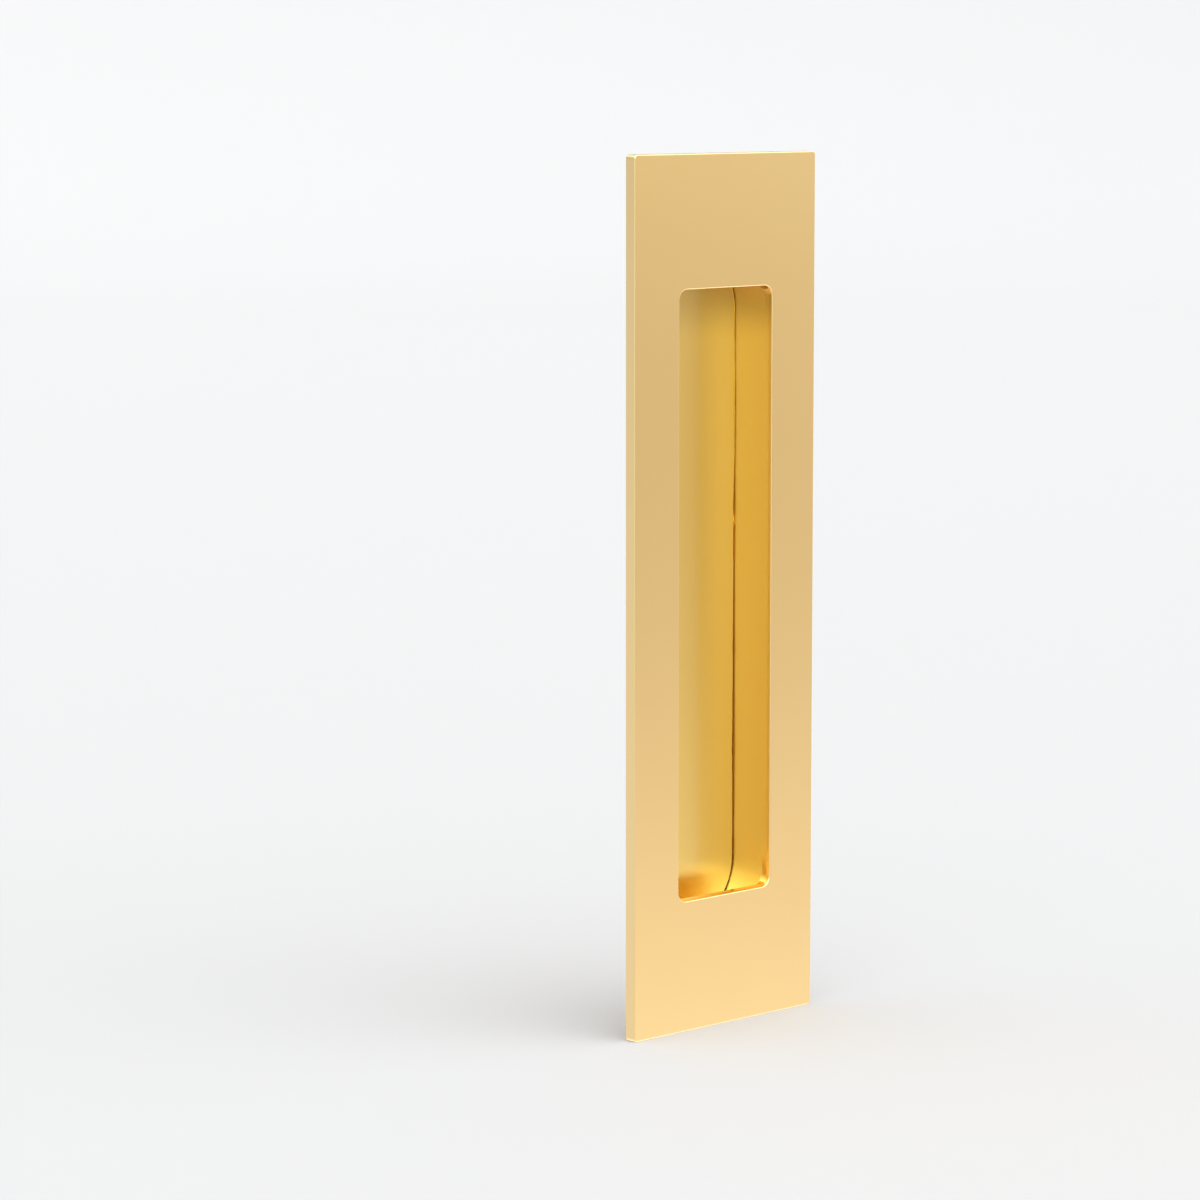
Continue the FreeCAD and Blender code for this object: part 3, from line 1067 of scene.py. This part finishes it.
STUDIO_LOBES = (
    # The large softbox overhead.
    Lobe(4, 75, 91, 1.83, "#F7FFFC"),
    # A small pale patch low in front, which the foot of the recess mirrors.
    Lobe(29, -26, 25, 0.89, "#FBFEFF"),
    # A small white card on the right, a little higher than the plate.
    Lobe(68, 17, 23, 0.3, "#F0FFFA"),
    # A wide pale floor that starts low on the right.
    Lobe(71, -45, 96, 1.14, "#FFFEF3"),
    # A window behind thin cloth, high on the left.
    Lobe(-54, 44, 91, 1.18, "#EFFFF7"),
    # The dark room level with the plate on the right, which the plate's face mirrors.
    Lobe(30, -3, 20, -1.04, "#E1F3FF"),
    # A paler stretch of floor low on the left.
    Lobe(-45, -47, 57, 0.64, "#FFEEEB"),
    # A smaller softbox in front, a little to the right and higher than the plate.
    Lobe(32, 26, 34, 1.09, "#FBFFFD"),
    # Light thrown back from low behind.
    Lobe(-143, -43, 69, 1.09, "#FDFFFD"),
    # A pale patch of floor on the right, which the upper rim of the opening mirrors.
    Lobe(79, -53, 49, 1.05, "#FCFDFF"),
    # The dark ground right below, which the plate mirrors when it is seen from above.
    Lobe(15, -72, 45, -0.95, "#FFFFFF"),
)


@dataclass
class Studio:
    """Camera, pale floor and soft light.

    Attributes:
        azimuth: How far the camera stands to the left of the plate's middle, in degrees.
        elevation: How far it looks down, in degrees.
        roll: How far it is turned about its own axis, in degrees.
        aside: How far the middle of the plate's face lies to the right of the picture's middle.
        above: How far it lies above the picture's middle.
        distance: How far it lies from the camera.
        focal: Focal length for a picture of the sensor's width.
        sensor: The sensor's width.
        surround: Light that comes from everywhere.
        lobes: The soft lights and dark places on top of it.
        nearest: From the camera to the nearest thing that it sees.
        farthest: From the camera to the farthest thing that it sees.
        floor_flat: Radius of the floor's flat part.
        floor_bend: Radius of the bend by which it turns up into the backdrop.
        bend_rows: Rows drawn over that bend.
        floor_sides: Points drawn round the floor.
        paper: Colour of the floor's paper, as sRGB.
        paper_roughness: Its roughness.
    """

    azimuth: float = 43.09
    elevation: float = 7.43
    roll: float = -0.04
    aside: float = 25.49
    above: float = 1.26
    distance: float = 833.8
    focal: float = 123.24
    sensor: float = 36.0
    surround: float = 0.08
    lobes: tuple[Lobe, ...] = STUDIO_LOBES
    nearest: float = 10.0
    farthest: float = 100000.0
    floor_flat: float = 2500.0
    floor_bend: float = 1500.0
    bend_rows: int = 13
    floor_sides: int = 96
    paper: str = "#B8B1B5"
    paper_roughness: float = 0.9

    def camera(self) -> None:
        """Makes the camera at the photograph's viewing angle."""
        low, _ = extent("face_plate")
        a, e, roll = (math.radians(angle) for angle in (self.azimuth, self.elevation, self.roll))
        forward = Vector((math.sin(a) * math.cos(e), math.cos(a) * math.cos(e), -math.sin(e)))
        level = Vector((math.cos(a), -math.sin(a), 0))
        upright = level.cross(forward)
        right = level * math.cos(roll) + upright * math.sin(roll)
        up = upright * math.cos(roll) - level * math.sin(roll)
        middle = Vector((0, low[1], 0))
        place = (middle - right * self.aside - up * self.above - forward * self.distance) * MM
        data = bpy.data.cameras.new("photo_camera")
        data.lens = self.focal
        data.sensor_width = self.sensor
        data.clip_start, data.clip_end = self.nearest * MM, self.farthest * MM
        camera = bpy.data.objects.new("photo_camera", data)
        bpy.context.scene.collection.objects.link(camera)
        turned = Matrix((right, up, -forward)).transposed().to_4x4()
        camera.matrix_world = Matrix.Translation(place) @ turned
        bpy.context.scene.camera = camera

    def light(self) -> None:
        """Makes the surrounding light: an even grey with a soft lobe for each lamp.

        The light from a direction is the surround plus, for each lobe, its strength and
        colour times a smooth step of the cosine of the angle between the two, and never
        less than nought.
        """
        world = bpy.data.worlds.new("studio")
        bpy.context.scene.world = world
        world.use_nodes = True
        tree = world.node_tree
        tree.nodes.clear()
        way = add_node(tree, "ShaderNodeTexCoord").outputs["Generated"]
        total = (self.surround,) * 3
        for lobe in self.lobes:
            red, green, blue, _ = linear(lobe.colour)
            cosine = add_node(tree, "ShaderNodeVectorMath", {"operation": "DOT_PRODUCT"}, {
                0: way, 1: lobe.axis()})
            share = add_node(tree, "ShaderNodeMapRange", {"interpolation_type": "SMOOTHSTEP"}, {
                "Value": cosine.outputs["Value"], "From Min": math.cos(math.radians(lobe.spread)),
                "From Max": 1.0, "To Min": 0.0, "To Max": lobe.strength})
            total = add_node(tree, "ShaderNodeVectorMath", {"operation": "MULTIPLY_ADD"}, {
                0: share.outputs[0], 1: (red, green, blue), 2: total}).outputs[0]
        lit = add_node(tree, "ShaderNodeVectorMath", {"operation": "MAXIMUM"}, {0: total, 1: (0, 0, 0)})
        even = add_node(tree, "ShaderNodeBackground", inputs={"Strength": 1.0, "Color": lit.outputs[0]})
        add_node(tree, "ShaderNodeOutputWorld", inputs={"Surface": even.outputs[0]})

    def floor(self) -> None:
        """Makes the pale floor, which sweeps up into a backdrop all round."""
        low, _ = extent("face_plate")
        turn = np.linspace(0, QUARTER_TURN, self.bend_rows)
        radius = np.concatenate([[0], self.floor_flat + self.floor_bend * np.sin(turn)])
        height = np.concatenate([[0], self.floor_bend * (1 - np.cos(turn))])
        angle = np.linspace(0, FULL_TURN, self.floor_sides, endpoint=False)
        grid = np.stack([radius[:, None] * np.cos(angle), radius[:, None] * np.sin(angle),
                         low[2] + np.broadcast_to(height[:, None], (len(radius), len(angle)))], axis=-1)
        floor = make_object("studio_floor", grid, wrapped=False)
        floor.data.shade_smooth()
        material = bpy.data.materials.new("pale_paper")
        material.use_nodes = True
        surface = material.node_tree.nodes["Principled BSDF"]
        surface.inputs["Base Color"].default_value = linear(self.paper)
        surface.inputs["Roughness"].default_value = self.paper_roughness
        floor.data.materials.append(material)
        floor.visible_glossy = False

    def set_up(self) -> None:
        """Makes the camera, the light and the floor."""
        self.camera()
        self.light()
        self.floor()
        bpy.context.scene.view_settings.view_transform = "Standard"


def main() -> None:
    """Builds the pull's pieces in the order they are put together, and the studio."""
    logging.basicConfig(level=logging.INFO, format="%(message)s")
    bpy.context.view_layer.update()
    slot = Slot()
    screws = [Screw("upper_wood_screw", "upper_screw"), Screw("lower_wood_screw", "lower_screw")]
    FacePlate(slot).build()
    CupRing(slot, screws).build()
    CupFloor(slot).build()
    for screw in screws:
        screw.build()
    Studio().set_up()


if __name__ == "__main__":
    main()
